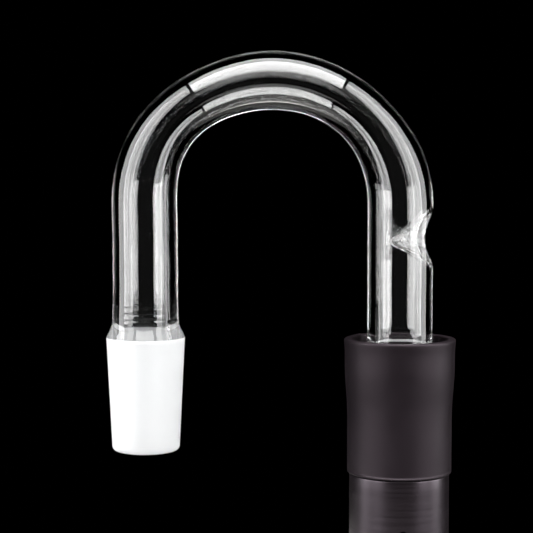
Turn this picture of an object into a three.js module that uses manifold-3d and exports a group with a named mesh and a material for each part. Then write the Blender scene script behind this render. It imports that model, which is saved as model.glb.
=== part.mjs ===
// U-bend glass adapter: a clear glass hook with a ground taper joint on its free leg. The other leg
// ends in a flared foot, held by a soft sleeve that is pushed over the spigot of a metal barrel.
// Millimetres, +Z up. The origin is the centre of the barrel's lower end, and +Z is the barrel's axis.
import * as THREE from 'three';
import { mergeVertices } from 'three/addons/utils/BufferGeometryUtils.js';
import Module from 'manifold-3d';

const wasm = await Module();
wasm.setup();

// Glass tubing
const TUBE_RADIUS = 6;
const TUBE_WALL = 1.75;
const BORE_RADIUS = TUBE_RADIUS - TUBE_WALL;

// Bend: two upright legs joined by a half turn about BEND_X, BEND_Z
const LEG_SPACING = 47;
const BEND_RADIUS = LEG_SPACING / 2;
const BEND_X = -BEND_RADIUS;
const BEND_Z = 79.5;
const CROWN_DROP = 0.55;
const SHOULDER_SWELL = 0.75;
const SHOULDER_ANGLE = 145 * Math.PI / 180;
const SHOULDER_WIDTH = 24 * Math.PI / 180;
const CROWN_FLATTENING = 1.3;
const SHOULDER_FLATTENING = 1;
const SIDE_SPREAD = 0.25;

// Dimple pushed into the outer side of the sleeve-side leg, its tip a little lower than its mouth
const DIMPLE_MOUTH_Z = 73.7;
const DIMPLE_TIP_X = -1.3;
const DIMPLE_DROP = 0.7;
const DIMPLE_TILT = Math.atan(DIMPLE_DROP / (TUBE_RADIUS - DIMPLE_TIP_X));
const DIMPLE_WALL = 0.75;
// [radius, X] of the hollow, from just behind its tip to the wall
const DIMPLE_WIDTHS = [[1.5, 0.8], [2.6, 2.35], [3.5, 3.45], [4.25, 4.3], [4.8, 5.9]];
const DIMPLE_TIP_WIDTH = 0.6;
const DIMPLE_TIP_DEPTH = 0.45;

// Ground taper joint on the free leg, 14.5 mm at the wide end, 1 in 10, 20 mm long
const JOINT_SEAL_Z = 59.5;
const JOINT_WIDE_RADIUS = 7.25;
const JOINT_LENGTH = 20;
const JOINT_TAPER = 1 / 10;
const JOINT_WIDE_Z = 55.25;
const JOINT_FLARE_Z = 57.6;
const JOINT_NARROW_RADIUS = JOINT_WIDE_RADIUS - JOINT_LENGTH * JOINT_TAPER / 2;
const JOINT_LIP = 1.1;
const JOINT_BORE_ROUND = 0.5;
const FLARE_ROUND = 0.6;
const FLARE_END_INSET = 0.25;
const FLARE_END_RISE = 0.8;

// Flared foot of the sleeve-side leg
const FOOT_SEAL_Z = 54.3;
const FOOT_RADIUS = 8.6;
const FOOT_WALL = 1.6;
const FOOT_CONE_RADIUS = 8.15;
const FOOT_CONE_Z = 51.7;
const FOOT_CUP_Z = 50.6;
const FOOT_BORE_CONE_Z = 53.6;
const FOOT_CUP_FLOOR_Z = 50.4;
const FOOT_CUP_ROUND = 0.5;
const FOOT_END_Z = 46.5;

// Sleeve, stretched over the foot at its top and over the barrel's spigot at its bottom
const SLEEVE_WALL = 1.45;
const SLEEVE_GAP = 0.1;
const SLEEVE_BOTTOM_Z = 30.1;
const SLEEVE_TOP_Z = 55.1;
const SLEEVE_MOUTH_RADIUS = 10.35;
const SLEEVE_MOUTH_DEPTH = 1.5;
const SLEEVE_RIM_ROUND = 0.3;
const SLEEVE_END_ROUND = 0.6;
const SLEEVE_NECK_EASE = 2;

// Barrel, with a spigot turned on its upper end and one small air hole
const BARREL_RADIUS = 9.25;
const BARREL_WALL = 1.25;
const BARREL_SHOULDER_Z = 30;
const BARREL_CHAMFER = 0.3;
const BARREL_STEP_Z = 27;
const BARREL_STEP = 1;
const SPIGOT_RADIUS = 8.1;
const SPIGOT_WALL = 1.1;
const SPIGOT_END_Z = 43;
const SPIGOT_CHAMFER = 0.5;
const AIR_HOLE_RADIUS = 0.7;
const AIR_HOLE_Z = 20.2;

// Facets
const TUBE_SIDES = 24;
const TURNED_SIDES = 36;
const BEND_STEPS = 38;
const DIMPLE_STEPS = 12;
const DIMPLE_SIDES = 20;
const AIR_HOLE_SIDES = 12;
const NECK_STEPS = 4;
// A cutting body runs this far past the face it cuts, and the sleeve's neck starts this far from its ends
const OVERCUT = 2;
const OVERLAP = 1;

const v2 = (x, y) => new THREE.Vector2(x, y);

/** A manifold solid from a closed three.js geometry. */
function toSolid(geometry) {
  const bare = geometry.clone();
  bare.deleteAttribute('normal');
  bare.deleteAttribute('uv');
  const merged = mergeVertices(bare, 1e-5);
  const vertProperties = new Float32Array(merged.attributes.position.array);
  const triVerts = new Uint32Array(merged.index.array);
  return new wasm.Manifold(new wasm.Mesh({ numProp: 3, vertProperties, triVerts }));
}

/** The three.js geometry of a manifold solid. */
function toGeometry(solid) {
  const mesh = solid.getMesh();
  const geometry = new THREE.BufferGeometry();
  geometry.setAttribute('position', new THREE.BufferAttribute(new Float32Array(mesh.vertProperties), 3));
  geometry.setIndex(new THREE.BufferAttribute(new Uint32Array(mesh.triVerts), 1));
  geometry.computeVertexNormals();
  return geometry;
}

/** A ring or a solid of revolution about Z. The profile is a list of (radius, height) points. */
function turned(profile, sides = TURNED_SIDES) {
  return new THREE.LatheGeometry(profile, sides).rotateX(Math.PI / 2);
}

/** Points on a quarter round from one corner to the other, bulging towards the corner point given. */
function quarterRound(from, corner, to, steps = 4) {
  return new THREE.QuadraticBezierCurve(from, corner, to).getPoints(steps);
}

/** Centreline of the hook: up the sleeve-side leg, round the half turn and down the free leg. */
class HookCurve extends THREE.Curve {
  constructor(startZ, endZ) {
    super();
    this.startZ = startZ;
    this.rise = BEND_Z - startZ;
    this.fall = BEND_Z - endZ;
    this.turn = Math.PI * BEND_RADIUS;
  }

  getPoint(t, target = new THREE.Vector3()) {
    const along = t * (this.rise + this.turn + this.fall);
    if (along <= this.rise) {
      return target.set(0, 0, this.startZ + along);
    }
    if (along >= this.rise + this.turn) {
      return target.set(-LEG_SPACING, 0, BEND_Z - (along - this.rise - this.turn));
    }
    const angle = (along - this.rise) / BEND_RADIUS;
    const x = BEND_X + BEND_RADIUS * Math.cos(angle);
    return target.set(x, 0, BEND_Z + BEND_RADIUS * Math.sin(angle));
  }
}

/** Radius of the bend's centreline at an angle: a little low at the crown, full at the far shoulder. */
function bendRadius(angle) {
  const offset = (angle - SHOULDER_ANGLE) / SHOULDER_WIDTH;
  const swell = SHOULDER_SWELL * Math.exp(-offset * offset);
  return BEND_RADIUS - CROWN_DROP * Math.sin(angle) ** 2 + swell;
}

/** How far the hand-made bend flattens the tube across the turn, as a share of its diameter. */
function bendFlattening(angle) {
  const crown = CROWN_FLATTENING * Math.sin(angle) ** 2;
  const shoulders = SHOULDER_FLATTENING * Math.sin(2 * angle) ** 2;
  return (crown + shoulders) / (2 * TUBE_RADIUS);
}

/** Moves the vertices above the springing line so that the half turn is flattened as real ones are. */
function flattenBend(geometry) {
  const position = geometry.attributes.position;
  for (let i = 0; i < position.count; i += 1) {
    const dx = position.getX(i) - BEND_X;
    const dz = position.getZ(i) - BEND_Z;
    if (dz > 0) {
      const angle = Math.atan2(dz, dx);
      const flattening = bendFlattening(angle);
      const across = Math.hypot(dx, dz) - BEND_RADIUS;
      const radius = bendRadius(angle) + across * (1 - flattening);
      position.setX(i, BEND_X + radius * Math.cos(angle));
      position.setZ(i, BEND_Z + radius * Math.sin(angle));
      position.setY(i, position.getY(i) * (1 + SIDE_SPREAD * flattening));
    }
  }
  return geometry;
}

/** A round bar of the given radius swept along the hook between two leg heights. */
function hookBar(radius, startZ, endZ) {
  const section = new THREE.Shape();
  section.absarc(0, 0, radius, 0, 2 * Math.PI);
  const settings = {
    steps: BEND_STEPS,
    curveSegments: TUBE_SIDES / 2,
    bevelEnabled: false,
    extrudePath: new HookCurve(startZ, endZ),
  };
  return flattenBend(new THREE.ExtrudeGeometry(section, settings));
}

/** The dimple's funnel about X: a round tip, a cone and a mouth that opens into the tube's wall. */
function dimpleFunnel(wall) {
  const tipEdge = v2(DIMPLE_TIP_WIDTH + wall / 2, DIMPLE_TIP_X + DIMPLE_TIP_DEPTH - wall / 2);
  const cone = DIMPLE_WIDTHS.map(([width, x]) => v2(width + wall, x));
  const tip = v2(0, DIMPLE_TIP_X - wall);
  const outline = new THREE.SplineCurve([tip, tipEdge, ...cone]).getPoints(DIMPLE_STEPS);
  outline.push(v2(outline.at(-1).x, TUBE_RADIUS + OVERCUT));
  outline.push(v2(0, TUBE_RADIUS + OVERCUT));
  const funnel = new THREE.LatheGeometry(outline, DIMPLE_SIDES).rotateZ(-Math.PI / 2);
  funnel.translate(-TUBE_RADIUS, 0, 0);
  funnel.rotateY(-DIMPLE_TILT);
  return funnel.translate(TUBE_RADIUS, 0, DIMPLE_MOUTH_Z);
}

/** Bent glass tube, open at both ends, with its dimple. */
function bentTube() {
  const outside = toSolid(hookBar(TUBE_RADIUS, FOOT_SEAL_Z, JOINT_SEAL_Z));
  const bore = toSolid(hookBar(BORE_RADIUS, FOOT_SEAL_Z - OVERCUT, JOINT_SEAL_Z - OVERCUT));
  const hollow = bore.subtract(toSolid(dimpleFunnel(DIMPLE_WALL)));
  return toGeometry(outside.subtract(hollow).subtract(toSolid(dimpleFunnel(0))));
}

/** Ground joint: a short clear flare, the ground cone and a fire-rounded end. */
function groundJoint() {
  const narrowZ = JOINT_WIDE_Z - JOINT_LENGTH;
  const endZ = narrowZ - JOINT_LIP;
  const boreTop = v2(BORE_RADIUS, JOINT_SEAL_Z);
  const flare = quarterRound(
    v2(TUBE_RADIUS, JOINT_FLARE_Z + FLARE_ROUND),
    v2(TUBE_RADIUS, JOINT_FLARE_Z),
    v2(JOINT_WIDE_RADIUS - FLARE_END_INSET, JOINT_WIDE_Z + FLARE_END_RISE),
  );
  const lip = quarterRound(
    v2(JOINT_NARROW_RADIUS, narrowZ),
    v2(JOINT_NARROW_RADIUS, endZ),
    v2(JOINT_NARROW_RADIUS - JOINT_LIP, endZ),
  );
  const outside = [v2(TUBE_RADIUS, JOINT_SEAL_Z), ...flare, v2(JOINT_WIDE_RADIUS, JOINT_WIDE_Z), ...lip];
  const boreEnd = [v2(BORE_RADIUS + JOINT_BORE_ROUND / 2, endZ), v2(BORE_RADIUS, endZ + JOINT_BORE_ROUND)];
  const profile = [boreTop, ...outside, ...boreEnd, boreTop];
  return turned(profile.reverse(), TUBE_SIDES).translate(-LEG_SPACING, 0, 0);
}

/** Flared foot: the leg opens through a cone into a short wide cup, open below. */
function flaredFoot() {
  const cupRadius = FOOT_RADIUS - FOOT_WALL;
  const boreTop = v2(BORE_RADIUS, FOOT_SEAL_Z);
  const shoulder = quarterRound(
    v2(FOOT_CONE_RADIUS, FOOT_CONE_Z),
    v2(FOOT_RADIUS, FOOT_CONE_Z - FOOT_CUP_ROUND),
    v2(FOOT_RADIUS, FOOT_CUP_Z),
  );
  const end = [
    v2(FOOT_RADIUS, FOOT_END_Z + FOOT_CUP_ROUND),
    v2(FOOT_RADIUS - FOOT_CUP_ROUND, FOOT_END_Z),
    v2(cupRadius, FOOT_END_Z),
  ];
  const cupFloor = quarterRound(
    v2(cupRadius, FOOT_CUP_FLOOR_Z - 2 * FOOT_CUP_ROUND),
    v2(cupRadius, FOOT_CUP_FLOOR_Z),
    v2(cupRadius - FOOT_CUP_ROUND, FOOT_CUP_FLOOR_Z),
  );
  const inside = [...cupFloor, v2(BORE_RADIUS, FOOT_BORE_CONE_Z)];
  const profile = [boreTop, v2(TUBE_RADIUS, FOOT_SEAL_Z), ...shoulder, ...end, ...inside, boreTop];
  return turned(profile.reverse());
}

/** Sleeve: one thin soft wall that follows the foot, narrows below it and grips the spigot. */
function connectorSleeve() {
  const topInside = FOOT_RADIUS + SLEEVE_GAP;
  const bottomInside = SPIGOT_RADIUS + SLEEVE_GAP;
  const topOutside = topInside + SLEEVE_WALL;
  const bottomOutside = bottomInside + SLEEVE_WALL;
  const mouthInside = SLEEVE_MOUTH_RADIUS - SLEEVE_WALL;
  const neckTop = FOOT_END_Z + OVERLAP;
  const neckBottom = SPIGOT_END_Z - OVERLAP;
  const neck = new THREE.CubicBezierCurve(
    v2(bottomInside, neckBottom),
    v2(bottomInside, neckBottom + SLEEVE_NECK_EASE),
    v2(topInside, neckTop - OVERLAP - SLEEVE_NECK_EASE),
    v2(topInside, neckTop - OVERLAP),
  ).getPoints(NECK_STEPS);
  const inside = [
    v2(bottomInside, SLEEVE_BOTTOM_Z),
    ...neck,
    v2(topInside, SLEEVE_TOP_Z - SLEEVE_MOUTH_DEPTH),
    v2(mouthInside, SLEEVE_TOP_Z - SLEEVE_RIM_ROUND),
  ];
  const outside = [
    v2(mouthInside + SLEEVE_RIM_ROUND, SLEEVE_TOP_Z),
    v2(SLEEVE_MOUTH_RADIUS - SLEEVE_RIM_ROUND, SLEEVE_TOP_Z),
    v2(SLEEVE_MOUTH_RADIUS, SLEEVE_TOP_Z - SLEEVE_RIM_ROUND),
    v2(topOutside, SLEEVE_TOP_Z - 2 * SLEEVE_MOUTH_DEPTH),
    v2(topOutside, neckTop),
    v2(bottomOutside, neckBottom - OVERLAP),
    v2(bottomOutside, SLEEVE_BOTTOM_Z + SLEEVE_END_ROUND),
    v2(bottomOutside - SLEEVE_END_ROUND, SLEEVE_BOTTOM_Z),
  ];
  return turned([...inside, ...outside, inside[0]].reverse());
}

/** Barrel: a tube with a thinner spigot above its shoulder and an air hole through its front wall. */
function barrel() {
  const boreRadius = BARREL_RADIUS - BARREL_WALL;
  const spigotBore = SPIGOT_RADIUS - SPIGOT_WALL;
  const profile = [
    v2(boreRadius, 0),
    v2(BARREL_RADIUS - BARREL_CHAMFER, 0),
    v2(BARREL_RADIUS, BARREL_CHAMFER),
    v2(BARREL_RADIUS, BARREL_SHOULDER_Z - BARREL_CHAMFER),
    v2(BARREL_RADIUS - BARREL_CHAMFER, BARREL_SHOULDER_Z),
    v2(SPIGOT_RADIUS, BARREL_SHOULDER_Z),
    v2(SPIGOT_RADIUS, SPIGOT_END_Z - SPIGOT_CHAMFER),
    v2(SPIGOT_RADIUS - SPIGOT_CHAMFER, SPIGOT_END_Z),
    v2(spigotBore, SPIGOT_END_Z),
    v2(spigotBore, BARREL_STEP_Z + BARREL_STEP),
    v2(boreRadius, BARREL_STEP_Z),
    v2(boreRadius, 0),
  ];
  const hole = new THREE.CylinderGeometry(AIR_HOLE_RADIUS, AIR_HOLE_RADIUS, 2 * OVERCUT, AIR_HOLE_SIDES);
  hole.translate(0, -(BARREL_RADIUS - BARREL_WALL / 2), AIR_HOLE_Z);
  return toGeometry(toSolid(turned(profile)).subtract(toSolid(hole)));
}

/** A finish of the given colour. */
function finish(color, roughness, metalness = 0) {
  return new THREE.MeshStandardMaterial({ color, roughness, metalness });
}

const clearGlass = () => finish('#e8eef0', 0.03);
const frostedGlass = () => finish('#f2f3f4', 0.7);
const blackSilicone = () => finish('#3a383b', 0.75);
const blackAnodised = () => finish('#1b1b1d', 0.35, 0.8);

/** A named sub-part with its own material. */
function subPart(name, geometry, material) {
  const mesh = new THREE.Mesh(geometry, material);
  mesh.name = name;
  return mesh;
}

const adapter = new THREE.Group();
adapter.add(subPart('barrel_tube', barrel(), blackAnodised()));
adapter.add(subPart('connector_sleeve', connectorSleeve(), blackSilicone()));
adapter.add(subPart('socket_foot', flaredFoot(), clearGlass()));
adapter.add(subPart('u_bend_tube', bentTube(), clearGlass()));
adapter.add(subPart('ground_joint', groundJoint(), frostedGlass()));

export default adapter;
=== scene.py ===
# %% [markdown]
# # A glass U-bend adapter, held by a soft sleeve on a metal barrel
#
# The object is a piece of laboratory-style glassware. A clear borosilicate tube is bent through half
# a turn. One leg ends in a ground taper joint, the other opens into a wide foot that a black
# silicone sleeve grips. The sleeve is pushed over the spigot of a black metal barrel.
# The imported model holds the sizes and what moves. This script makes the surfaces and the finishes,
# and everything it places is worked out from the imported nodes' boxes.

import bmesh
import bpy
import numpy as np
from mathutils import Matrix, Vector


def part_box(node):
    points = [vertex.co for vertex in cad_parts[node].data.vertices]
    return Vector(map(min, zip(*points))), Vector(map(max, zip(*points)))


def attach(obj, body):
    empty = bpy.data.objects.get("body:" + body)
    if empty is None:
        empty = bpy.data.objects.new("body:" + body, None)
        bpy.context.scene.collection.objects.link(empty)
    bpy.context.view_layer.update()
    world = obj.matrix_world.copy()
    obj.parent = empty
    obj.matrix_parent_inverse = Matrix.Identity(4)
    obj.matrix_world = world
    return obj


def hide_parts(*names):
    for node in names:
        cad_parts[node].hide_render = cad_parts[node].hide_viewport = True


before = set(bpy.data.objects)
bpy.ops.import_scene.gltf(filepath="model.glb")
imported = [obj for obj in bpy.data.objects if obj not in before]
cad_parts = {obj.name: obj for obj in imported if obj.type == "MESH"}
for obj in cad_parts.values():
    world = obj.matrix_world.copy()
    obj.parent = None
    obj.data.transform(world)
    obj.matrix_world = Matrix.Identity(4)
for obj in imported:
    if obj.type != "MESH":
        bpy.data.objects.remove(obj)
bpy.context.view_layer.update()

# %% [markdown]
# ## Sizes
#
# The shapes below are functions of a few lengths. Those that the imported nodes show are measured
# from their boxes, and the rest are the same driving dimensions that the solid model uses. Working
# in millimetres keeps the numbers readable, so one factor turns them to metres at the end.

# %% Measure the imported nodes, in millimetres
MM = 0.001


def node_box(name):
    """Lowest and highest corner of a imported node, in millimetres."""
    low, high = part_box(name)
    return np.array(low) / MM, np.array(high) / MM


tube_low, tube_high = node_box("u_bend_tube")
joint_low, joint_high = node_box("ground_joint")
foot_low, foot_high = node_box("socket_foot")
sleeve_low, sleeve_high = node_box("connector_sleeve")
barrel_high = node_box("barrel_tube")[1]

TUBE_RADIUS = 6.0
BORE_RADIUS = 4.25
LEG_SPACING = -(joint_low[0] + joint_high[0]) / 2
BEND_RADIUS = LEG_SPACING / 2
BARREL_RADIUS = barrel_high[0]
FOOT_RADIUS = foot_high[0]
JOINT_WIDE_RADIUS = (joint_high[0] - joint_low[0]) / 2
print("leg spacing", round(LEG_SPACING, 3), "joint wide radius", round(JOINT_WIDE_RADIUS, 3))

# %% [markdown]
# ## From a grid of points to a mesh
#
# Every turned or swept piece here is a grid: one direction runs along an outline, the other runs
# round it. An outline that comes back to its start gives a closed skin without any end caps, which
# is what glass needs, because light is refracted at every wall that it meets. The faces are made
# from whole index arrays, so no Python loop visits a vertex.

# %% A closed skin from a grid
SHARP_ANGLE = np.radians(28)  # an edge that turns by more than this is drawn crisp on the machined pieces


def grid_mesh(name, points):
    """A closed skin from an array of points (along, round, xyz) in millimetres, joined up both ways."""
    along, around = points.shape[:2]
    index = np.arange(along * around).reshape(along, around)
    next_along = np.roll(index, -1, axis=0)
    faces = np.stack([index, np.roll(index, -1, 1), np.roll(next_along, -1, 1), next_along], axis=-1)
    mesh = bpy.data.meshes.new(name)
    mesh.from_pydata((points.reshape(-1, 3) * MM).tolist(), [], faces.reshape(-1, 4).tolist())
    mesh.validate()
    mesh.shade_smooth()
    piece = bpy.data.objects.new(name, mesh)
    bpy.context.collection.objects.link(piece)
    return piece


def face_outwards(piece):
    """Turns the faces of a closed skin outwards, and prints its size."""
    work = bmesh.new()
    work.from_mesh(piece.data)
    bmesh.ops.recalc_face_normals(work, faces=work.faces)
    volume = work.calc_volume(signed=True)
    if volume < 0:
        bmesh.ops.reverse_faces(work, faces=work.faces)
    open_edges = sum(not edge.is_manifold for edge in work.edges)
    work.to_mesh(piece.data)
    work.free()
    cubic_centimetres = round(abs(volume) * 1e6, 3)
    print(piece.name, "faces", len(piece.data.polygons), "open edges", open_edges, "cm3", cubic_centimetres)


# %% [markdown]
# ## Outlines
#
# An outline is a row of (radius, height) points. Its straight stretches are lines and its corners
# are short curves. A wall that swells and narrows could be many small arcs, but a smooth curve
# through a few measured knots says the same with fewer numbers. Every helper leaves its last point
# out, so stretches that follow each other share no doubled point, and count is how many points
# a stretch has.

# %% Outline helpers
def line(start, end, count):
    """Points on a straight line, start included and end left out, as an array (count, 2)."""
    share = np.arange(count)[:, None] / count
    return np.array(start) * (1 - share) + np.array(end) * share


def curve(start, pull_a, pull_b, end, count):
    """A cubic Bezier curve: the four points weighted by (1-t)^3, 3t(1-t)^2, 3t^2(1-t) and t^3."""
    t = np.arange(count)[:, None] / count
    weights = ((1 - t) ** 3, 3 * t * (1 - t) ** 2, 3 * t**2 * (1 - t), t**3)
    return sum(weight * np.array(point) for weight, point in zip(weights, (start, pull_a, pull_b, end)))


def rounded(start, corner, end, count, hold=(0.6, 0.6)):
    """A rounded corner: a Bezier curve whose pulls lie the held shares of the way from its ends to the
    corner."""
    start, corner, end = np.array(start), np.array(corner), np.array(end)
    return curve(start, start + hold[0] * (corner - start), end + hold[1] * (corner - end), end, count)


def through(knots, at):
    """A smooth curve through (x, y) knots, read at each x: cubic pieces, with each knot's slope taken from
    its neighbours."""
    x, y = np.array(knots, float).T
    slope = np.gradient(y, x)
    piece = np.clip(np.searchsorted(x, at, side="right") - 1, 0, len(x) - 2)
    width = x[piece + 1] - x[piece]
    t = (at - x[piece]) / width
    rise = y[piece] * (1 + 2 * t) * (1 - t) ** 2 + y[piece + 1] * t**2 * (3 - 2 * t)
    lean = width * (slope[piece] * t * (1 - t) ** 2 - slope[piece + 1] * t**2 * (1 - t))
    return rise + lean


def heights(low, high, count):
    """Evenly spaced heights, the last one left out."""
    return low + (high - low) * np.arange(count) / count


def wall_points(knots, z):
    """(radius, height) points on a turned wall: a smooth curve through (height, radius) knots."""
    return np.stack([through(knots, z), z], axis=-1)


def bump(x, centre, width):
    """A bell: e to the minus ((x - centre) / width) squared."""
    return np.exp(-(((x - centre) / width) ** 2))


# %% [markdown]
# ## The glass hook
#
# A glassblower bends tubing over a flame by hand, so the bend is never a perfect half torus: the
# tube flattens across the turn, at the crown and at the two shoulders, and one shoulder swells a
# little. The ground joint and the foot are sealed to the tube while soft, so on the real object they
# are one piece of glass. Three pieces could be set end to end, but a wall between them would show
# as a bright disc, so one closed skin stands for all three. It runs up the outside of the foot,
# round the hook, down the joint, round its lip and back through the bore.
#
# The first function gives the hook's centreline as a formula: a point, and the direction that
# faces away from the bend, for any distance along it.

# %% The hook's centreline and its flattened section
CROWN_DROP = 0.55
SHOULDER_SWELL = 0.75
SHOULDER_ANGLE, SHOULDER_WIDTH = np.radians(145), np.radians(24)
CROWN_FLATTENING, SHOULDER_FLATTENING, SIDE_SPREAD = 1.3, 1.0, 0.25


def bend_radius(angle):
    """The centreline's radius: full at the legs, lower at the crown by sin squared, and swollen by a bell at
    one shoulder."""
    swell = SHOULDER_SWELL * bump(angle, SHOULDER_ANGLE, SHOULDER_WIDTH)
    return BEND_RADIUS - CROWN_DROP * np.sin(np.clip(angle, 0, np.pi)) ** 2 + swell


def flattening(angle):
    """Share of its diameter that the tube loses across the turn: sin squared of the angle for the crown, and
    sin squared of twice the angle for the shoulders."""
    lost = CROWN_FLATTENING * np.sin(angle) ** 2 + SHOULDER_FLATTENING * np.sin(2 * angle) ** 2
    return lost / (2 * TUBE_RADIUS)


crown = np.pi / 2
BEND_Z = tube_high[2] - bend_radius(crown) - TUBE_RADIUS * (1 - flattening(crown))
BEND_LENGTH = np.pi * BEND_RADIUS
print("springing line of the bend at z", round(BEND_Z, 2))


def hook_point(along, angle, radius):
    """A point on the hook's wall. along is the height on the sleeve-side leg, then the length round the bend,
    then the length down the free leg. angle runs round the tube from the side that faces away from the
    bend."""
    travelled = (along - BEND_Z) / BEND_RADIUS
    turn = np.clip(travelled, 0, np.pi)
    up = np.minimum(along - BEND_Z, 0)
    down = np.maximum(along - BEND_Z - BEND_LENGTH, 0)
    flat = flattening(turn)
    out = bend_radius(travelled) + radius * np.cos(angle) * (1 - flat)
    x = -BEND_RADIUS + out * np.cos(turn)
    y = radius * np.sin(angle) * (1 + SIDE_SPREAD * flat)
    z = BEND_Z + out * np.sin(turn) + up - down
    return np.stack([x, y, z], axis=-1)


# %% [markdown]
# ## The dimple
#
# The dimple is a funnel pushed into the soft wall with a pointed tool, so the wall keeps its
# thickness all over it. Cutting a cone out would leave a knife edge and a flat-walled hole. A
# moved surface is used instead: near the dimple the wall's height above the tube's middle plane is
# the lower of the tube itself and a funnel, blended where they meet. The grid is drawn in towards
# the tip first, so that the steep cone has as many faces as the plain tube around it. The tool
# leaves shallow folds that run to the tip and fine rings round it.

# %% The dimple's sizes
DIMPLE_MOUTH_Z, DIMPLE_TIP_X = 73.7, -1.3
DIMPLE_DROP = 0.7  # how far the tip sinks below the mouth's middle
DIMPLE_REACH, DIMPLE_DRAW = 9.5, 0.7
LIP_BLEND = 0.4
FAR_SIDE_X = -3.0  # a wall point with a lower x than this is on the tube's other side, inside the bend
# Distance from the dimple's axis and height above its tip, on its outside and on the bulge in the bore.
HOLLOW = [
    (0, 0), (0.45, 0.25), (0.85, 0.95), (1.5, 2.1), (2.6, 3.65),
    (3.5, 4.75), (4.25, 5.6), (4.8, 7.2), (6, 12), (40, 150),
]
BULGE = [
    (0, -0.75), (0.6, -0.55), (1.13, 0.1), (1.7, 1.2), (2.3, 2.2),
    (3.2, 3.4), (4.1, 4.55), (5, 5.4), (6.5, 7), (40, 45),
]
# Height of each set of folds, how many there are round the funnel, and where they start.
FOLDS = [(0.07, 9, 1.1), (0.08, 17, -0.4), (0.07, 31, 2.0)]
RING_HEIGHT, RING_PITCH, RING_WANDER = 0.08, 0.55, 1.5
SMOOTH_TIP = 2.0  # the rings start at this distance from the tip, and the folds are full there
MARKS_MIDDLE, MARKS_WIDTH = 2.6, 1.9


# %% The dimple as a moved surface
def draw_in(along, angle, radius):
    """Moves grid points towards the dimple's centre: each one's distance is cut by a share that fades from
    DIMPLE_DRAW at the centre to nothing at DIMPLE_REACH."""
    across = radius * angle
    up = along - DIMPLE_MOUTH_Z
    fade = np.clip(1 - np.hypot(across, up) / DIMPLE_REACH, 0, 1) ** 2
    share = 1 - DIMPLE_DRAW * fade
    return DIMPLE_MOUTH_Z + up * share, across * share / radius


def lower_of(a, b, blend):
    """The lower of two heights, with a round fillet where they differ by less than blend."""
    near = np.clip(blend - np.abs(a - b), 0, None) / blend
    return np.minimum(a, b) - near**2 * blend / 4


def tool_marks(distance, bearing):
    """Height of the tool's marks: cosine folds round the funnel and sine rings down it, both times one bell
    that makes them weaker near the tip and the lip."""
    folds = sum(height * np.cos(count * bearing + start) for height, count, start in FOLDS)
    rings = RING_HEIGHT * np.sin(2 * np.pi * distance / RING_PITCH + RING_WANDER * np.sin(bearing))
    fade_in = np.clip(distance / SMOOTH_TIP, 0, 1)
    marks = folds * fade_in + rings * np.clip(distance - SMOOTH_TIP, 0, 1)
    return marks * bump(distance, MARKS_MIDDLE, MARKS_WIDTH)


def push_dimple(points, knots):
    """Lowers the wall over the dimple to a funnel about the X direction. The deeper a point goes, the more it
    also sinks, because the tool leaned down."""
    x, y, z = np.moveaxis(points, -1, 0)
    distance, bearing = np.hypot(y, z - DIMPLE_MOUTH_Z), np.arctan2(y, z - DIMPLE_MOUTH_Z)
    height = through(knots, np.minimum(distance, knots[-1][0]))
    funnel = DIMPLE_TIP_X + tool_marks(distance, bearing) + height
    on_leg = (x > FAR_SIDE_X) & (z > foot_high[2]) & (z < BEND_Z + BEND_RADIUS / 2)
    lowered = np.where(on_leg, lower_of(x, funnel, LIP_BLEND), x)
    z = z - (x - lowered) * DIMPLE_DROP / (TUBE_RADIUS - DIMPLE_TIP_X)
    return np.stack([lowered, y, z], axis=-1)


# %% [markdown]
# ## One outline for the whole hook
#
# The hook's outline is a list of (length along the hook, radius) points. It holds the foot's
# rounded shoulder, the straight leg, the bend, the joint's straight shoulder, its ground cone that
# narrows 1 in 10 on the diameter, and its rounded lip. Where the joint is sealed on, the lathe
# flame leaves a faint widening outside and narrow rings in the bore, which bend light into short
# level bars. Where the bore opens into the foot there is a small bead of matt glass.

# %% Sizes of the foot and the joint
FOOT_SEAL, FOOT_END = foot_high[2], foot_low[2]
FOOT_WALL, FOOT_EDGE, CUP_EDGE = 1.6, 0.5, 0.3
FLARE_DEPTH, CUP_DEPTH, FLARE_BLEND = 3.9, 5.3, 2.2
foot_top = FOOT_SEAL - FLARE_DEPTH  # the outside starts to narrow here
cup_top = FOOT_SEAL - CUP_DEPTH  # the inside starts to narrow here
flare_top = FOOT_SEAL + FLARE_BLEND  # both are plain tube above here
cup_radius = FOOT_RADIUS - FOOT_WALL
# Height and radius of the foot's outside, and of its inside with the bead at its narrowest point.
FOOT_OUTSIDE = [
    (49, FOOT_RADIUS), (50.6, FOOT_RADIUS), (51.2, 8.5), (51.7, 8.15), (53.8, 6.45),
    (54.3, 6.18), (54.8, 6.06), (55.4, 6.01), (56, TUBE_RADIUS), (58, TUBE_RADIUS),
]
FOOT_INSIDE = [
    (47, cup_radius), (49, cup_radius), (49.8, 6.85), (50.4, 6.5), (53.1, 4.75), (53.45, 4.2),
    (53.7, 4.02), (54.0, 4.1), (54.25, 4.22), (54.5, BORE_RADIUS), (55, BORE_RADIUS), (58, BORE_RADIUS),
]
JOINT_END, JOINT_WIDE_Z, JOINT_FLARE_Z = joint_low[2], 55.25, 57.6
JOINT_NARROW_RADIUS = 6.25
# Size of each rounding of the joint's lip, and how far its pulls reach to the corner.
JOINT_LIP, LIP_HOLD = 1.1, (0.727, 0.636)
BORE_LIP, BORE_LIP_HOLD = 0.7, (0.667, 0.714)
SHOULDER_ROUNDING = 0.15
SEAL_WIDENING, SEAL_Z, SEAL_SPREAD = 0.16, 60.5, 0.9
# Height and half width of each ring of melted glass, and how far the rings stand into the bore.
SEAL_RINGS, SEAL_RING_DEPTH = [(58.6, 0.13), (59.7, 0.16), (60.9, 0.12)], 0.035
print("foot's cup radius", round(cup_radius, 3), "joint's end at z", round(JOINT_END, 2))


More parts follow.
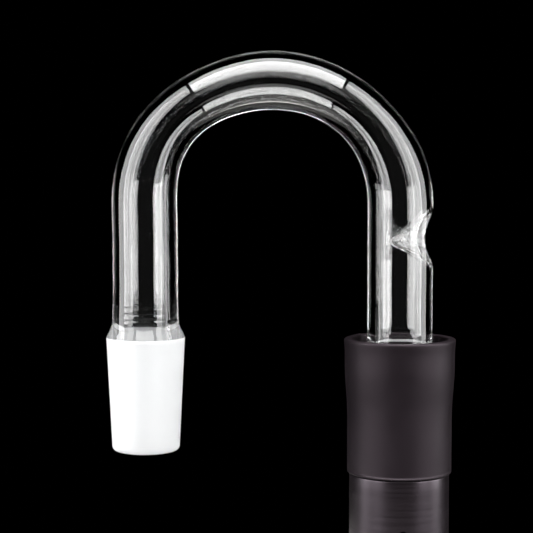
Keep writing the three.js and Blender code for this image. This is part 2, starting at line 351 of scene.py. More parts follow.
# %% The free leg's walls near the seal
def outside_radius(z):
    """Outside above the joint: the tube, a faint widening that grows in below SEAL_Z as a logistic step, and
    a straight shoulder below JOINT_FLARE_Z whose start is rounded."""
    widening = SEAL_WIDENING / (1 + np.exp((z - SEAL_Z) / SEAL_SPREAD))
    slope = (JOINT_WIDE_RADIUS - TUBE_RADIUS - SEAL_WIDENING) / (JOINT_FLARE_Z - JOINT_WIDE_Z)
    shoulder = np.logaddexp(0, (JOINT_FLARE_Z - z) / SHOULDER_ROUNDING) * SHOULDER_ROUNDING * slope
    return TUBE_RADIUS + widening + shoulder


def bore_radius(z):
    """Bore near the seal: narrow rings of melted glass stand into it by a few hundredths of a millimetre."""
    return BORE_RADIUS - SEAL_RING_DEPTH * sum(bump(z, height, width) for height, width in SEAL_RINGS)


# %% Where the outline's stretches meet
SEAL_TOP = 65.0  # above this height the free leg is plain tube
SEAL_BELOW = 2.0  # the bore's fine rows start this far below the joint's wide end
OUTSIDE_STEP, RING_STEP = 0.22, 0.08
DIMPLE_ROWS, BEND_ROWS, LEG_ROWS, CONE_ROWS, LIP_ROWS = 64, 86, 14, 24, 7
FREE_LEG = BEND_Z + BEND_LENGTH + BEND_Z  # less a height, this is the length along the hook on the free leg
seal_z = np.arange(SEAL_TOP, JOINT_WIDE_Z + OUTSIDE_STEP / 4, -OUTSIDE_STEP)
inner_z = np.arange(JOINT_WIDE_Z - SEAL_BELOW, SEAL_TOP, RING_STEP)
dimple_low, dimple_high = DIMPLE_MOUTH_Z - DIMPLE_REACH, DIMPLE_MOUTH_Z + DIMPLE_REACH
bend_end = BEND_Z + BEND_LENGTH
leg_end = FREE_LEG - SEAL_TOP


def free(points):
    """Outline points (radius, height) on the free leg, as (length along the hook, radius)."""
    return np.stack([FREE_LEG - points[:, 1], points[:, 0]], axis=-1)


def sleeve_side(points):
    """Outline points (radius, height) on the sleeve-side leg, as (length along the hook, radius)."""
    return points[:, ::-1]


# %% Outline of the outside, from the foot's end to the joint's lip
foot_corner = (FOOT_RADIUS, FOOT_END)
joint_corner = (JOINT_NARROW_RADIUS, JOINT_END)
cone_end = (JOINT_NARROW_RADIUS, JOINT_END + JOINT_LIP)
lip_end = (JOINT_NARROW_RADIUS - JOINT_LIP, JOINT_END)
foot_edge = rounded((FOOT_RADIUS - FOOT_EDGE, FOOT_END), foot_corner, (FOOT_RADIUS, FOOT_END + FOOT_EDGE), 5)
outside = np.concatenate([
    sleeve_side(foot_edge),
    sleeve_side(line((FOOT_RADIUS, FOOT_END + FOOT_EDGE), (FOOT_RADIUS, foot_top), 4)),
    sleeve_side(wall_points(FOOT_OUTSIDE, heights(foot_top, flare_top, 30))),
    line((flare_top, TUBE_RADIUS), (dimple_low, TUBE_RADIUS), 10),
    line((dimple_low, TUBE_RADIUS), (dimple_high, TUBE_RADIUS), DIMPLE_ROWS),
    line((dimple_high, TUBE_RADIUS), (bend_end, TUBE_RADIUS), BEND_ROWS),
    line((bend_end, TUBE_RADIUS), (leg_end, TUBE_RADIUS), LEG_ROWS),
    free(np.stack([outside_radius(seal_z), seal_z], axis=-1)),
    free(line((JOINT_WIDE_RADIUS, JOINT_WIDE_Z), cone_end, CONE_ROWS)),
    free(rounded(cone_end, joint_corner, lip_end, LIP_ROWS, LIP_HOLD)),
])
print("outside outline points", len(outside))

# %% Outline of the bore, from the joint's lip back to the foot's end
bore_corner = (BORE_RADIUS, JOINT_END)
bore_start = (BORE_RADIUS, JOINT_END + BORE_LIP)
cup_end = (cup_radius, FOOT_END + CUP_EDGE)
bore = np.concatenate([
    free(rounded(lip_end, bore_corner, bore_start, 6, BORE_LIP_HOLD)),
    free(line(bore_start, (BORE_RADIUS, inner_z[0]), 18)),
    free(np.stack([bore_radius(inner_z), inner_z], axis=-1)),
    line((leg_end, BORE_RADIUS), (bend_end, BORE_RADIUS), LEG_ROWS),
    line((bend_end, BORE_RADIUS), (dimple_high, BORE_RADIUS), BEND_ROWS),
    line((dimple_high, BORE_RADIUS), (dimple_low, BORE_RADIUS), DIMPLE_ROWS),
    line((dimple_low, BORE_RADIUS), (flare_top, BORE_RADIUS), 11),
    sleeve_side(wall_points(FOOT_INSIDE, heights(flare_top, cup_top, 50))),
    sleeve_side(line((cup_radius, cup_top), cup_end, 4)),
    sleeve_side(rounded(cup_end, (cup_radius, FOOT_END), (cup_radius + CUP_EDGE, FOOT_END), 4, (1, 1))),
])
print("bore outline points", len(bore))

# %% [markdown]
# ## Making the glass
#
# Drawn tubing is never quite round or straight. A few slow waves of about a hundredth of a
# millimetre on the radius make the light bands wander as they do in real glass, and a perfect
# cylinder would look like plastic. A Displace modifier with a noise could do this too, but a sum of
# waves gives the same walls every time and needs no texture.

# %% Sweep the outline round the hook
SIDES = 144
# Height of each wave, and the length of hook over which it turns by one radian.
LONG_WAVE, LONG_PITCH = 0.008, 7.3
OVAL_WAVE, OVAL_PITCH = 0.006, 17.0
SHORT_WAVE, SHORT_PITCH = 0.003, 2.1
OUTSIDE_PHASE, BORE_PHASE = 0.4, 2.2


def waves(along, angle, phase):
    """Sum of three waves on the radius: a long one to one side, a slowly turning oval, and a short one that
    goes round three times."""
    long_wave = LONG_WAVE * np.sin(along / LONG_PITCH + phase) * np.cos(angle + phase)
    oval = OVAL_WAVE * np.cos(2 * angle + along / OVAL_PITCH + phase)
    short_wave = SHORT_WAVE * np.sin(along / SHORT_PITCH + 2 * phase) * np.cos(3 * angle - phase)
    return long_wave + oval + short_wave


def sweep(outline, knots, phase):
    """A grid of points: every outline point carried round the hook's section, then over the dimple."""
    angle = np.linspace(-np.pi, np.pi, SIDES, endpoint=False)[None, :]
    along, radius = outline[:, :1], outline[:, 1:]
    along, angle = draw_in(along + 0 * angle, angle + 0 * along, radius)
    return push_dimple(hook_point(along, angle, radius + waves(along, angle, phase)), knots)


skin = np.concatenate([sweep(outside, HOLLOW, OUTSIDE_PHASE), sweep(bore, BULGE, BORE_PHASE)])
glass_hook = grid_mesh("glass_hook", skin)
face_outwards(glass_hook)

# %% [markdown]
# ## The soft sleeve
#
# The sleeve is a short length of moulded silicone. It is stretched over the wide glass foot, so its
# upper half bulges, and it settles to a smaller size on the barrel's spigot. A cylinder with a
# Solidify modifier could stand for it, but its wall would be equally thick everywhere and its rims
# square, so both walls and both rims are one turned outline. The cut rim is uneven by some
# hundredths of a millimetre, as a trimmed soft edge is, and its corners are rounded.

# %% The sleeve's walls
SLEEVE_SIDES = 192
TOP_EDGE, BOTTOM_EDGE = 0.5, 0.35
RIM_HOLD = (0.7, 0.65)
# Height and radius of the outer and the inner wall.
SLEEVE_OUTSIDE = [
    (30, 9.67), (36, 9.66), (41, 9.68), (43.4, 9.76), (46, 9.96),
    (49, 10.14), (51, 10.16), (53, 10.19), (54.4, 10.3), (56, 10.4),
]
SLEEVE_INSIDE = [
    (30, 8.2), (38, 8.2), (42, 8.2), (44, 8.42), (46.3, 8.7),
    (50, 8.7), (53.6, 8.72), (54.6, 8.82), (56, 8.95),
]
sleeve_bottom, sleeve_top = sleeve_low[2], sleeve_high[2]
wall_bottom, wall_top = sleeve_bottom + BOTTOM_EDGE, sleeve_top - TOP_EDGE
bottom_outer, rim_outer = through(SLEEVE_OUTSIDE, np.array([wall_bottom, wall_top]))
bottom_inner, rim_inner = through(SLEEVE_INSIDE, np.array([wall_bottom, wall_top]))
print("sleeve wall at the rim", round(rim_outer - rim_inner, 2))
print("sleeve wall at the bottom", round(bottom_outer - bottom_inner, 2))


def rounded_rim(outer, inner, end, drop):
    """Outline points from an outer wall over a flat end to the inner wall, with rounded corners. end is that
    end's height, and the walls stop at end plus drop."""
    size = abs(drop)
    outer_corner = rounded((outer, end + drop), (outer, end), (outer - size, end), 7, RIM_HOLD)
    inner_corner = rounded((inner + size, end), (inner, end), (inner, end + drop), 7, RIM_HOLD[::-1])
    return np.concatenate([outer_corner, line((outer - size, end), (inner + size, end), 4), inner_corner])


# %% Turn the sleeve and trim its rim
# Height of each wave of the trimmed rim, how many there are round it, and where they start.
TRIM_WAVES = [(0.05, 3, 0.6), (0.03, 7, 2.0), (0.02, 17, 0.0)]
TRIM_DEPTH, RIM_DROP, RIM_TILT, RIM_SQUEEZE = 2.0, 0.08, 0.6, 0.06


def carried_round(outline, sides):
    """(radius, height) outline points turned about the Z axis, as a grid; the angle starts at the front."""
    angle = np.linspace(0, 2 * np.pi, sides, endpoint=False) - np.pi / 2
    radius, height = outline[:, :1], outline[:, 1:]
    return np.stack([radius * np.cos(angle), radius * np.sin(angle), height + 0 * angle], axis=-1)


def trim_rim(grid):
    """Makes the rim uneven. A share that grows as a square over the last TRIM_DEPTH lowers the wall, and
    moves its inner side in, by a fixed amount plus a sum of waves round the sleeve."""
    turn = np.linspace(0, 2 * np.pi, SLEEVE_SIDES, endpoint=False)[None, :]
    uneven = sum(height * np.sin(count * turn + start) for height, count, start in TRIM_WAVES)
    near_rim = np.clip((grid[..., 2] - (sleeve_top - TRIM_DEPTH)) / TRIM_DEPTH, 0, 1) ** 2
    inner_side = np.hypot(grid[..., 0], grid[..., 1]) < (rim_outer + rim_inner) / 2
    grid[..., 2] -= near_rim * (RIM_DROP + RIM_TILT * uneven)
    grid[..., :2] *= (1 - near_rim * (RIM_SQUEEZE + uneven) * inner_side / rim_inner)[..., None]
    return grid


sleeve_outline = np.concatenate([
    wall_points(SLEEVE_OUTSIDE, heights(wall_bottom, wall_top, 60)),
    rounded_rim(rim_outer, rim_inner, sleeve_top, -TOP_EDGE),
    wall_points(SLEEVE_INSIDE, heights(wall_top, wall_bottom, 60)),
    rounded_rim(bottom_outer, bottom_inner, sleeve_bottom, BOTTOM_EDGE)[::-1],
])
silicone_sleeve = grid_mesh("silicone_sleeve", trim_rim(carried_round(sleeve_outline, SLEEVE_SIDES)))
face_outwards(silicone_sleeve)

# %% [markdown]
# ## The barrel
#
# The barrel is turned from aluminium tube: a plain cylinder, a step down to the spigot that the
# sleeve grips, and one small drilled air hole. The walls are a turned outline, as the lathe makes
# them. The hole could be modelled into the grid, but the faces would have to bend round it, so it is
# a true cut, made with a Boolean that is applied at once.

# %% Turn the barrel
BARREL_SIDES = 192
BARREL_WALL, SPIGOT_RADIUS, SPIGOT_WALL = 1.25, 8.1, 1.1
BARREL_EDGE, BARREL_EDGE_HOLD = 0.35, (0.571, 0.571)
SHOULDER_EDGE, SHOULDER_EDGE_HOLD = 0.3, (0.667, 0.667)
SPIGOT_CHAMFER, BORE_CHAMFER = 0.5, 0.2
STEP_DEPTH, STEP_LENGTH = 2.0, 1.0  # the bore narrows this far below the shoulder, over this length
shoulder, spigot_end = 30.0, barrel_high[2]
bore_step_high, bore_step_low = shoulder - STEP_DEPTH, shoulder - STEP_DEPTH - STEP_LENGTH
bore_wall, spigot_bore = BARREL_RADIUS - BARREL_WALL, SPIGOT_RADIUS - SPIGOT_WALL
edge_start, edge_end = (BARREL_RADIUS - BARREL_EDGE, 0), (BARREL_RADIUS, BARREL_EDGE)
step_start, step_end = (BARREL_RADIUS, shoulder - SHOULDER_EDGE), (BARREL_RADIUS - SHOULDER_EDGE, shoulder)
chamfer_start = (SPIGOT_RADIUS, spigot_end - SPIGOT_CHAMFER)
chamfer_end = (SPIGOT_RADIUS - SPIGOT_CHAMFER, spigot_end)
barrel_outline = np.concatenate([
    rounded(edge_start, (BARREL_RADIUS, 0), edge_end, 5, BARREL_EDGE_HOLD),
    line(edge_end, step_start, 14),
    rounded(step_start, (BARREL_RADIUS, shoulder), step_end, 5, SHOULDER_EDGE_HOLD),
    line(step_end, (SPIGOT_RADIUS, shoulder), 3),
    line((SPIGOT_RADIUS, shoulder), chamfer_start, 8),
    line(chamfer_start, chamfer_end, 2),
    line(chamfer_end, (spigot_bore, spigot_end), 3),
    line((spigot_bore, spigot_end), (spigot_bore, bore_step_high), 8),
    line((spigot_bore, bore_step_high), (bore_wall, bore_step_low), 2),
    line((bore_wall, bore_step_low), (bore_wall, BORE_CHAMFER), 14),
    line((bore_wall, BORE_CHAMFER), (bore_wall + BORE_CHAMFER, 0), 2),
    line((bore_wall + BORE_CHAMFER, 0), edge_start, 3),
])
metal_barrel = grid_mesh("metal_barrel", carried_round(barrel_outline, BARREL_SIDES))
face_outwards(metal_barrel)

# %% Drill the air hole
AIR_HOLE_RADIUS, AIR_HOLE_Z = 0.7, 20.2
DRILL_SIDES, DRILL_OVERRUN = 48, 1.0


def cut_air_hole(piece):
    """Drills a round hole through the front wall with a Boolean, and keeps the result as the piece's mesh."""
    turn = np.linspace(0, 2 * np.pi, DRILL_SIDES, endpoint=False)
    across, up = AIR_HOLE_RADIUS * np.cos(turn), AIR_HOLE_Z + AIR_HOLE_RADIUS * np.sin(turn)
    ring = np.stack([across, 0 * turn, up], axis=-1)
    front, back = [0, BARREL_RADIUS + DRILL_OVERRUN, 0], [0, bore_wall - DRILL_OVERRUN, 0]
    points = np.concatenate([ring - front, ring - back]) * MM
    near = np.arange(DRILL_SIDES)
    following = np.roll(near, -1)
    walls = np.stack([near, following, following + DRILL_SIDES, near + DRILL_SIDES], axis=-1)
    ends = [near[::-1].tolist(), (near + DRILL_SIDES).tolist()]
    drill_mesh = bpy.data.meshes.new("drill")
    drill_mesh.from_pydata(points.tolist(), [], walls.tolist() + ends)
    drill = bpy.data.objects.new("drill", drill_mesh)
    bpy.context.collection.objects.link(drill)
    face_outwards(drill)
    cut = piece.modifiers.new("air hole", "BOOLEAN")
    cut.object, cut.operation, cut.solver = drill, "DIFFERENCE", "EXACT"
    seen = bpy.context.evaluated_depsgraph_get()
    result = bpy.data.meshes.new_from_object(piece.evaluated_get(seen))
    piece.modifiers.clear()
    piece.data = result
    bpy.data.objects.remove(drill)
    result.set_sharp_from_angle(angle=SHARP_ANGLE)
    print(piece.name, "faces after drilling", len(result.polygons))


cut_air_hole(metal_barrel)

# %% [markdown]
# ## Finishes
#
# Each finish starts from what the real material is. Colours are written as the hex values that a
# colour picker shows, and one function turns them to the linear values that light is worked out in.
# Patterns read Object coordinates, which are metres here, so a pattern's scale is one over its real
# size, which is written in millimetres times MM.


# %% Colour and node helpers
def linear(hex_colour, alpha=1.0):
    """sRGB hex to linear RGBA: (c + 0.055) / 1.055 to the power 2.4, or c / 12.92 where c is at most
    0.04045."""
    channels = np.array([int(hex_colour[i : i + 2], 16) / 255 for i in (1, 3, 5)])
    bent = np.where(channels > 0.04045, ((channels + 0.055) / 1.055) ** 2.4, channels / 12.92)
    return (*bent.tolist(), alpha)


def add(tree, kind, inputs=None, **settings):
    """Adds a node. settings are its properties; inputs maps a socket to a value, or to the output that feeds
    it."""
    node = tree.nodes.new(kind)
    for key, value in settings.items():
        setattr(node, key, value)
    for key, value in (inputs or {}).items():
        if isinstance(value, bpy.types.NodeSocket):
            tree.links.new(value, node.inputs[key])
        else:
            node.inputs[key].default_value = value
    return node


def start_material(name):
    """An empty node material with its Material Output, as (material, tree, output)."""
    material = bpy.data.materials.new(name)
    material.use_nodes = True
    material.node_tree.nodes.clear()
    print("finish:", name)
    return material, material.node_tree, add(material.node_tree, "ShaderNodeOutputMaterial")


# %% [markdown]
# ### Clear borosilicate glass
#
# Borosilicate has an index of 1.473. Its surface is fire-polished, so it is mirror smooth, and the
# only texture is the faint cord that drawing leaves along the tube. A Glass shader would do, but
# the Principled one keeps index and transmission as plain values. The cord is a noise some
# millimetres wide that only tilts the surface a little.

# %% Clear borosilicate glass
GLASS_INDEX = 1.473
clear_glass, tree, output = start_material("clear_borosilicate_glass")
place = add(tree, "ShaderNodeTexCoord")
cord = add(tree, "ShaderNodeTexNoise", {
    "Vector": place.outputs["Object"], "Scale": 1 / (6 * MM), "Detail": 1.0, "Roughness": 0.4,
})
tilt = add(tree, "ShaderNodeBump", {"Height": cord.outputs["Fac"], "Strength": 0.35, "Distance": 0.03 * MM})
glass = add(tree, "ShaderNodeBsdfPrincipled", {
    "Base Color": linear("#FFFFFF"), "Roughness": 0.0, "IOR": GLASS_INDEX, "Transmission Weight": 1.0,
    "Normal": tilt.outputs["Normal"],
})
tree.links.new(glass.outputs["BSDF"], output.inputs["Surface"])

# %% [markdown]
# ### Ground glass
#
# The joint is ground with silicon carbide grit of some hundredths of a millimetre, which leaves a
# matt white surface of tiny pits. Pits that small would vanish, so they are drawn about a quarter
# of a millimetre wide. Part of the light passes through, blurred, and part is scattered back as
# white, so the finish is a mix of the two on one shader.

# %% Ground glass
ground_glass, tree, output = start_material("ground_borosilicate_glass")
place = add(tree, "ShaderNodeTexCoord")
pits = add(tree, "ShaderNodeTexNoise", {
    "Vector": place.outputs["Object"], "Scale": 1 / (0.25 * MM), "Detail": 2.0,
})
rub = add(tree, "ShaderNodeTexNoise", {
    "Vector": place.outputs["Object"], "Scale": 1 / (4 * MM), "Detail": 3.0,
})
rough = add(tree, "ShaderNodeMapRange", {
    "Value": rub.outputs["Fac"], "From Min": 0.3, "From Max": 0.7, "To Min": 0.72, "To Max": 0.85,
})
tilt = add(tree, "ShaderNodeBump", {"Height": pits.outputs["Fac"], "Strength": 0.5, "Distance": 0.03 * MM})
frost = add(tree, "ShaderNodeBsdfPrincipled", {
    "Base Color": linear("#E6E7E8"), "Roughness": rough.outputs["Result"], "IOR": GLASS_INDEX,
    "Transmission Weight": 0.55, "Normal": tilt.outputs["Normal"],
})
tree.links.new(frost.outputs["BSDF"], output.inputs["Surface"])

# %% [markdown]
# ### Tool-marked glass
#
# Where the glass was shaped with a graphite tool while soft, in the dimple, the tool leaves fine
# scratches. They scatter light, so the dimple looks whiter and softer than the fire-polished wall.
# The scratches are a noise that is stretched along the tool's path. Real ones are about a tenth of a
# millimetre apart, and they are drawn four times as coarse so that they show. The same noise also
# streaks the base colour from grey to white. Those streaks are painted light and shade, standing in
# for the bright and dim streaks that the folds catch from the panels.

# %% Tool-marked glass
SCRATCH_LENGTH, SCRATCH_PITCH = 3 * MM, 0.4 * MM
tooled_glass, tree, output = start_material("tool_marked_borosilicate_glass")
place = add(tree, "ShaderNodeTexCoord")
drag = add(tree, "ShaderNodeMapping", {
    "Vector": place.outputs["Object"], "Scale": (1 / SCRATCH_LENGTH, 1 / SCRATCH_PITCH, 1 / SCRATCH_PITCH),
})
scratches_and_painted_streaks = add(tree, "ShaderNodeTexNoise", {"Vector": drag.outputs["Vector"], "Scale": 1.0, "Detail": 2.0})
patches = add(tree, "ShaderNodeTexNoise", {
    "Vector": place.outputs["Object"], "Scale": 1 / (1.2 * MM), "Detail": 3.0,
})
rough = add(tree, "ShaderNodeMapRange", {
    "Value": patches.outputs["Fac"], "From Min": 0.35, "From Max": 0.65, "To Min": 0.05, "To Max": 0.3,
})
# Painted light and shade: the base colour runs from grey to white along the scratch streaks, standing in for
# the streaky light that the folds catch.
painted_streak = add(tree, "ShaderNodeMapRange", {
    "Value": scratches_and_painted_streaks.outputs["Fac"], "From Min": 0.38, "From Max": 0.5,
})
shade = add(tree, "ShaderNodeMix", {
    "Factor": painted_streak.outputs["Result"], "A": linear("#8C8C8E"), "B": linear("#FFFFFF"),
}, data_type="RGBA")
tilt = add(tree, "ShaderNodeBump", {
    "Height": scratches_and_painted_streaks.outputs["Fac"], "Strength": 0.7, "Distance": 0.06 * MM,
})
marked = add(tree, "ShaderNodeBsdfPrincipled", {
    "Roughness": rough.outputs["Result"], "IOR": GLASS_INDEX, "Transmission Weight": 0.75,
    "Normal": tilt.outputs["Normal"],
})
tree.links.new(shade.outputs["Result"], marked.inputs["Base Color"])
tree.links.new(marked.outputs["BSDF"], output.inputs["Surface"])

# %% [markdown]
# ### Black silicone
#
# Moulded silicone is a soft satin black. Handling makes it shinier in patches, and its skin has a
# fine pebble from the mould. Its index is about 1.41, so its sheen is a little weaker than that of
# hard plastic, and it has a faint plum cast. A Sheen layer would add fuzz, which silicone hasn't,
# so the tint of the plain reflection carries the cast.

# %% Black silicone
silicone, tree, output = start_material("black_moulded_silicone")
place = add(tree, "ShaderNodeTexCoord")
pebble = add(tree, "ShaderNodeTexNoise", {
    "Vector": place.outputs["Object"], "Scale": 1 / (0.6 * MM), "Detail": 3.0,
})
handling = add(tree, "ShaderNodeTexNoise", {
    "Vector": place.outputs["Object"], "Scale": 1 / (6 * MM), "Detail": 4.0,
})
rough = add(tree, "ShaderNodeMapRange", {
    "Value": handling.outputs["Fac"], "From Min": 0.3, "From Max": 0.7, "To Min": 0.46, "To Max": 0.56,
})
shade = add(tree, "ShaderNodeMix", {
    "Factor": handling.outputs["Fac"], "A": linear("#080507"), "B": linear("#0B070A"),
}, data_type="RGBA")
tilt = add(tree, "ShaderNodeBump", {
    "Height": pebble.outputs["Fac"], "Strength": 0.25, "Distance": 0.05 * MM,
})
rubber = add(tree, "ShaderNodeBsdfPrincipled", {
    "Roughness": rough.outputs["Result"], "IOR": 1.41, "Specular IOR Level": 0.36,
    "Specular Tint": linear("#FFEAF8"), "Normal": tilt.outputs["Normal"],
})
tree.links.new(shade.outputs["Result"], rubber.inputs["Base Color"])
tree.links.new(rubber.outputs["BSDF"], output.inputs["Surface"])

# %% [markdown]
# ### Black anodised aluminium
#
# Anodising grows a clear hard skin on the metal and dyes it black. The dye hides the metal, so the
# shine comes from the skin, which acts like a glassy coat with a faint plum cast. That is why the
# finish isn't metallic here. The lathe's feed marks show through as fine rings, at a pitch of about
# 0.4 mm, and they make the sheen streaky.

# %% Black anodised aluminium
FEED_PITCH, FEED_LENGTH = 0.4 * MM, 25 * MM
anodised, tree, output = start_material("black_anodised_aluminium")
place = add(tree, "ShaderNodeTexCoord")
squash = add(tree, "ShaderNodeMapping", {
    "Vector": place.outputs["Object"], "Scale": (1 / FEED_LENGTH, 1 / FEED_LENGTH, 1 / FEED_PITCH),
})
feed = add(tree, "ShaderNodeTexNoise", {"Vector": squash.outputs["Vector"], "Scale": 1.0, "Detail": 2.0})
wear = add(tree, "ShaderNodeTexNoise", {
    "Vector": place.outputs["Object"], "Scale": 1 / (5 * MM), "Detail": 4.0,
})
rough = add(tree, "ShaderNodeMapRange", {
    "Value": feed.outputs["Fac"], "From Min": 0.3, "From Max": 0.7, "To Min": 0.3, "To Max": 0.38,
})
shade = add(tree, "ShaderNodeMix", {
    "Factor": wear.outputs["Fac"], "A": linear("#050304"), "B": linear("#080506"),
}, data_type="RGBA")
tilt = add(tree, "ShaderNodeBump", {"Height": feed.outputs["Fac"], "Strength": 0.12, "Distance": 0.03 * MM})
metal = add(tree, "ShaderNodeBsdfPrincipled", {
    "Roughness": rough.outputs["Result"], "Metallic": 0.0, "IOR": 1.5, "Specular IOR Level": 0.6,
    "Specular Tint": linear("#FFECFC"), "Normal": tilt.outputs["Normal"],
})
tree.links.new(shade.outputs["Result"], metal.inputs["Base Color"])
tree.links.new(metal.outputs["BSDF"], output.inputs["Surface"])

# %% [markdown]
# ## Putting the finishes on
#
# Most of the hook is clear glass. Its other finishes could be separate pieces, but then the glass
# would have walls inside it, so each face of the one skin gets a finish by its row in the grid or
# by where its centre lies. The cone and the lip are ground, and so is the bead at the mouth of the
# foot's bore. The dimple, wherever it lies well under the tube's own surface, is tool-marked.

# %% Assign finishes
LIP_ROWS_IN_BORE = 2  # the grinding runs this many rows round the lip into the bore
DIMPLE_EDGE, DIMPLE_DEPTH = 5.5, 0.6
BEAD_LOW, BEAD_HIGH = 53.5, 54.25
FINISHES = (
    (glass_hook, (clear_glass, ground_glass, tooled_glass)),
    (silicone_sleeve, (silicone,)),
    (metal_barrel, (anodised,)),
)
for piece, materials in FINISHES:
    piece.data.materials.clear()
    for material in materials:
        piece.data.materials.append(material)

face_count = len(glass_hook.data.polygons)
centres = np.empty(3 * face_count)
glass_hook.data.polygons.foreach_get("center", centres)
x, y, z = centres.reshape(-1, 3).T / MM
face_rows = np.arange(face_count) // SIDES
ground_start, ground_end = len(outside) - LIP_ROWS - CONE_ROWS, len(outside) + LIP_ROWS_IN_BORE
on_outside = face_rows < len(outside)
is_ground = (face_rows >= ground_start) & (face_rows < ground_end)
tube_surface = np.sqrt(np.clip(TUBE_RADIUS**2 - y**2, 0, None))
in_dimple = on_outside & (x > FAR_SIDE_X) & (x < tube_surface - DIMPLE_DEPTH)
in_dimple &= np.hypot(y, z - DIMPLE_MOUTH_Z) < DIMPLE_EDGE
on_bead = ~on_outside & (x > -BEND_RADIUS) & (z > BEAD_LOW) & (z < BEAD_HIGH)
material_index = (is_ground | on_bead) + 2 * in_dimple
glass_hook.data.polygons.foreach_set("material_index", material_index.astype(np.int32))
glass_hook.data.update()
print("ground faces", is_ground.sum(), "dimple faces", in_dimple.sum(), "bead faces", on_bead.sum())

# %% [markdown]
# ## Telling the frame what each piece is
#
# The glass turns in the sleeve, and the sleeve pulls off the barrel. Keyframes could show that for
# one motion only, so each piece rides on its body instead, and follows whatever that body does. It
# also takes the place of the solids that it is the finished surface of.

# %% Ride and replace
RIDERS = (
    (glass_hook, "glass", "clear_glass"),
    (silicone_sleeve, "sleeve", "black_silicone"),
    (metal_barrel, "barrel", "black_anodised"),
)
for piece, body, slot in RIDERS:
    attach(piece, body)
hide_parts("u_bend_tube", "ground_joint", "socket_foot")
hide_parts("connector_sleeve")
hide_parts("barrel_tube")

# %% [markdown]
# ## The plinth
#
# The object stands on a small pale round plinth with a rounded edge. A wide floor is the usual
# choice, but clear glass would mirror it in its dark parts. The outline leaves a hole finer than a
# hair on the axis, which keeps the plinth a closed skin like the other turned pieces.

# %% Plinth
PLINTH_RADIUS, PLINTH_DEPTH, PLINTH_EDGE, PLINTH_SIDES = 75.0, 6.0, 1.0, 128
AXIS_HOLE = 0.01
CENTRE_X = (tube_low[0] + tube_high[0]) / 2
flat_end, side_start = (PLINTH_RADIUS - PLINTH_EDGE, 0), (PLINTH_RADIUS, -PLINTH_EDGE)
plinth_outline = np.concatenate([
    line((AXIS_HOLE, 0), flat_end, 12),
    rounded(flat_end, (PLINTH_RADIUS, 0), side_start, 6),
    line(side_start, (PLINTH_RADIUS, -PLINTH_DEPTH), 3),
    line((PLINTH_RADIUS, -PLINTH_DEPTH), (AXIS_HOLE, -PLINTH_DEPTH), 6),
])
plinth = grid_mesh("plinth", carried_round(plinth_outline, PLINTH_SIDES) + np.array([CENTRE_X, 0, 0]))
face_outwards(plinth)
plinth.data.set_sharp_from_angle(angle=SHARP_ANGLE)
paint, tree, output = start_material("pale_matt_paint")
place = add(tree, "ShaderNodeTexCoord")
grain = add(tree, "ShaderNodeTexNoise", {
    "Vector": place.outputs["Object"], "Scale": 1 / (3 * MM), "Detail": 3.0,
})
tilt = add(tree, "ShaderNodeBump", {"Height": grain.outputs["Fac"], "Strength": 0.1, "Distance": 0.1 * MM})
matt = add(tree, "ShaderNodeBsdfPrincipled", {
    "Base Color": linear("#7C7B79"), "Roughness": 0.9, "Normal": tilt.outputs["Normal"],
})
tree.links.new(matt.outputs["BSDF"], output.inputs["Surface"])
plinth.data.materials.append(paint)

# %% [markdown]
# ## Light
#
# Clear glass has no colour of its own. It is seen by what it bends and mirrors, so the light is the
# subject. Large even panels to the left, the right and overhead draw broad white bands down the
# tube, and the dark gap behind keeps its middle black. This is called dark-field lighting. A dim
# card in front lifts the black pieces and the ground cone. The panels could be glowing meshes, but
# area lights give less noise, and their brightness doesn't change with their size here.


# %% One light panel
def panel(name, centre, facing, width, height, brightness):
    """A flat light, in metres. facing is its rotation, and its power is brightness times pi times area."""
    light = bpy.data.lights.new(name, "AREA")
    light.shape, light.size, light.size_y = "RECTANGLE", width, height
    light.energy = brightness * np.pi * width * height
    lamp = bpy.data.objects.new(name, light)
    lamp.location = centre
    lamp.rotation_euler = facing
    bpy.context.collection.objects.link(lamp)
    print(name, "power", round(light.energy, 1), "W")


# %% Light panels
QUARTER = np.pi / 2
SHINES_DOWN, SHINES_BACK = (0, 0, 0), (QUARTER, 0, 0)
middle = CENTRE_X * MM
SIDE_DISTANCE = 0.7
SIDE_TOPS = ((-1, 1.166), (1, 1.219))  # left and right, with the height of that panel's top
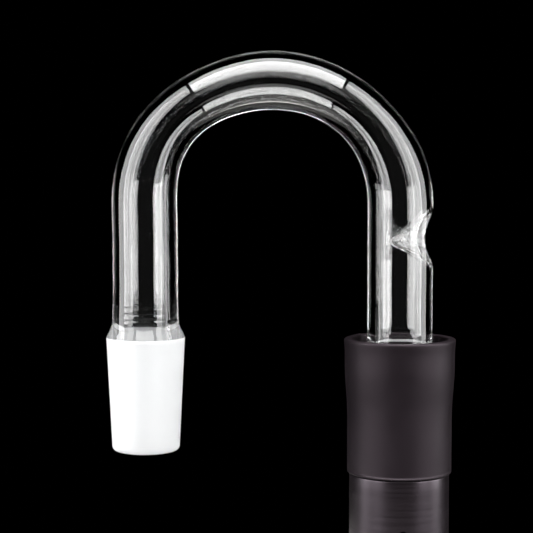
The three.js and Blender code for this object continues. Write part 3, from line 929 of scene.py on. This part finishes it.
# Each upright strip of a side panel: its rear and front edge as angles round the object from straight behind
# it, its lower edge and its brightness. The outer strips are the lamps, the middle one the dimmer cloth.
SIDE_STRIPS = [(81, 103, -0.08, 7.5), (103, 118, -0.05, 3.0), (118, 138, -0.05, 7.5)]
for side, top in SIDE_TOPS:
    for rear, front, bottom, brightness in SIDE_STRIPS:
        y_rear, y_front = SIDE_DISTANCE / np.tan(np.radians([rear, front]))
        where = (middle + side * SIDE_DISTANCE, (y_rear + y_front) / 2, (top + bottom) / 2)
        facing = (QUARTER, 0, side * QUARTER)
        panel(f"side_panel_{side}_{rear}", where, facing, y_rear - y_front, top - bottom, brightness)
# Name, centre from the object's middle, rotation, width, height and brightness.
OTHER_PANELS = [
    ("top_panel", (-0.019, -0.585, 1.35), SHINES_DOWN, 1.518, 1.61, 10.0),
    ("front_card", (0, -2.2, 1.445), SHINES_BACK, 1.3, 1.27, 1.4),
    ("room_glow", (0, -2.4, 0.3), SHINES_BACK, 3.0, 1.6, 0.035),
]
for name, (right, back, up), facing, width, height, brightness in OTHER_PANELS:
    panel(name, (middle + right, back, up), facing, width, height, brightness)

world = bpy.data.worlds.new("dark_room")
world.use_nodes = True
world.node_tree.nodes["Background"].inputs["Color"].default_value = (0, 0, 0, 1)
bpy.context.scene.world = world

# %% [markdown]
# ## Camera
#
# The camera is close and looks down by a few degrees, so the level rims look open. It could stand
# further off with a longer lens, but the rims would then look nearly closed. Light crosses four
# glass surfaces on its way through one leg, and more round the bend, so it is allowed many bounces.
# The plain view transform keeps the white panels white.

# %% Camera
EYE_X, EYE_DISTANCE, EYE_HEIGHT, NEAREST = -0.02465, 0.2944, 0.08834, 0.01  # metres
PITCH = np.radians(-3.897)
FOCAL_LENGTH, SENSOR_WIDTH = 108.07, 36.0  # millimetres
lens = bpy.data.cameras.new("camera")
lens.lens, lens.sensor_width, lens.clip_start = FOCAL_LENGTH, SENSOR_WIDTH, NEAREST
camera = bpy.data.objects.new("camera", lens)
camera.location = (EYE_X, -EYE_DISTANCE, EYE_HEIGHT)
camera.rotation_euler = (QUARTER + PITCH, 0, 0)
bpy.context.collection.objects.link(camera)
scene = bpy.context.scene
scene.camera = camera
scene.view_settings.view_transform = "Standard"
scene.cycles.max_bounces = 24
scene.cycles.transmission_bounces = 20
scene.cycles.glossy_bounces = 12
print("camera", [round(value, 3) for value in camera.location], "looks down", round(-np.degrees(PITCH), 2))
